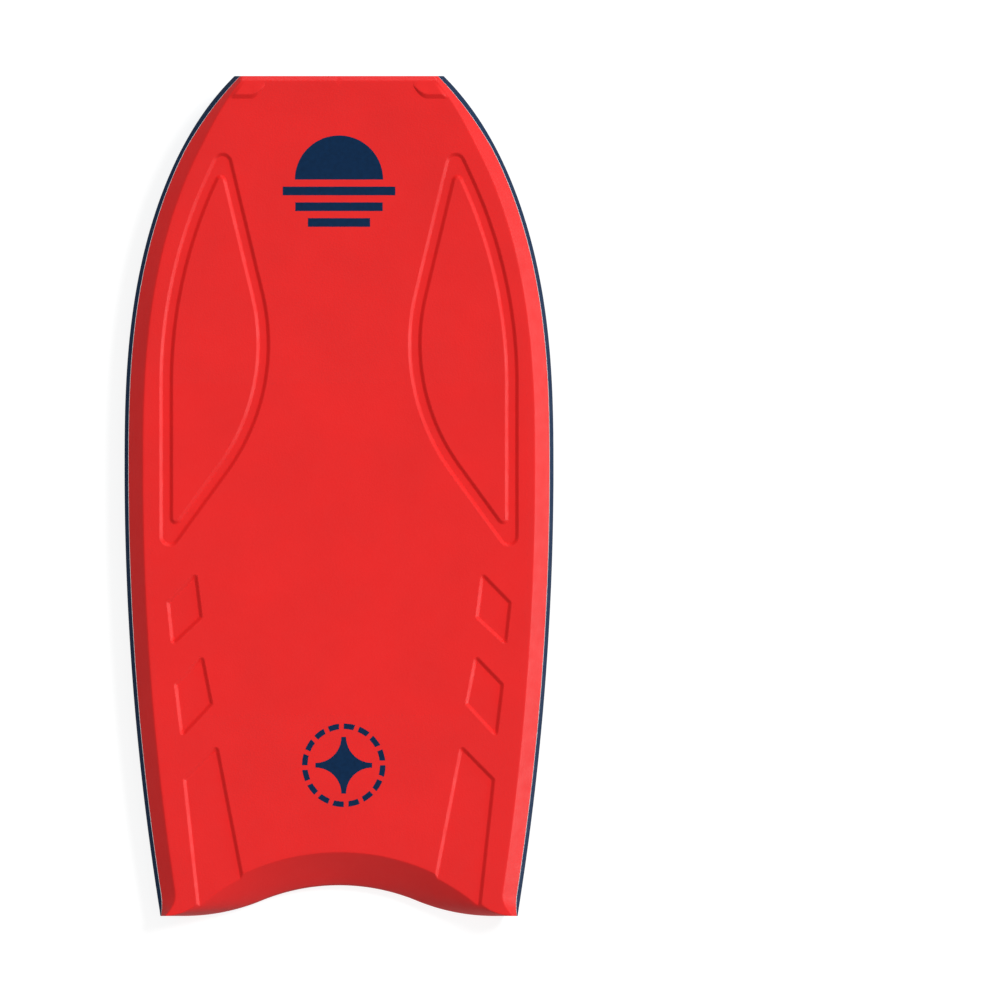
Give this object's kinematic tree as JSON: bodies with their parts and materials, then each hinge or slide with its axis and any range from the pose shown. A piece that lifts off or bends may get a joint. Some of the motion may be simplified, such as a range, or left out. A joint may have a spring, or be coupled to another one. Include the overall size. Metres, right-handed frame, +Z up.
{
  "type": "bodyboard",
  "caption": "Foam bodyboard with a crescent tail, gripped deck contours, chined rails, a plastic slick with channels and a tube stringer.",
  "frame": {"origin": "under the middle of the board's box, on the plane that the flat bottom rests on", "axes": "+Y towards the nose, +X towards the rider's right, +Z up out of the deck"},
  "size_m": [0.546, 1.067, 0.0772],
  "materials": {
    "red_foam": "closed-cell foam, matte",
    "navy_foam": "closed-cell foam, matte",
    "slick_plastic": "smooth, glossy",
    "net_strand": "plain strand",
    "white_foam": "closed-cell foam",
    "core_foam": "bead foam",
    "stringer_composite": "wound fibre composite",
    "plug_plastic": "moulded",
    "navy_film": "bonded film"
  },
  "bodies": {
    "root": {"deck_skin": "red_foam", "nose_bulb_left": "red_foam", "nose_bulb_right": "red_foam", "nose_cap": "red_foam", "tail_skin": "red_foam", "lower_rail_left": "navy_foam", "lower_rail_right": "navy_foam", "slick_sheet": "slick_plastic", "mesh_strands_a": "net_strand", "mesh_strands_b": "net_strand", "bottom_foam": "white_foam", "core_block": "core_foam", "bore_filler": "core_foam", "stringer_tube": "stringer_composite", "stringer_cap_nose": "plug_plastic", "stringer_cap_tail": "plug_plastic", "deck_emblem": "navy_film", "tail_emblem": "navy_film", "slick_emblem": "navy_film"}
  },
  "joints": []
}
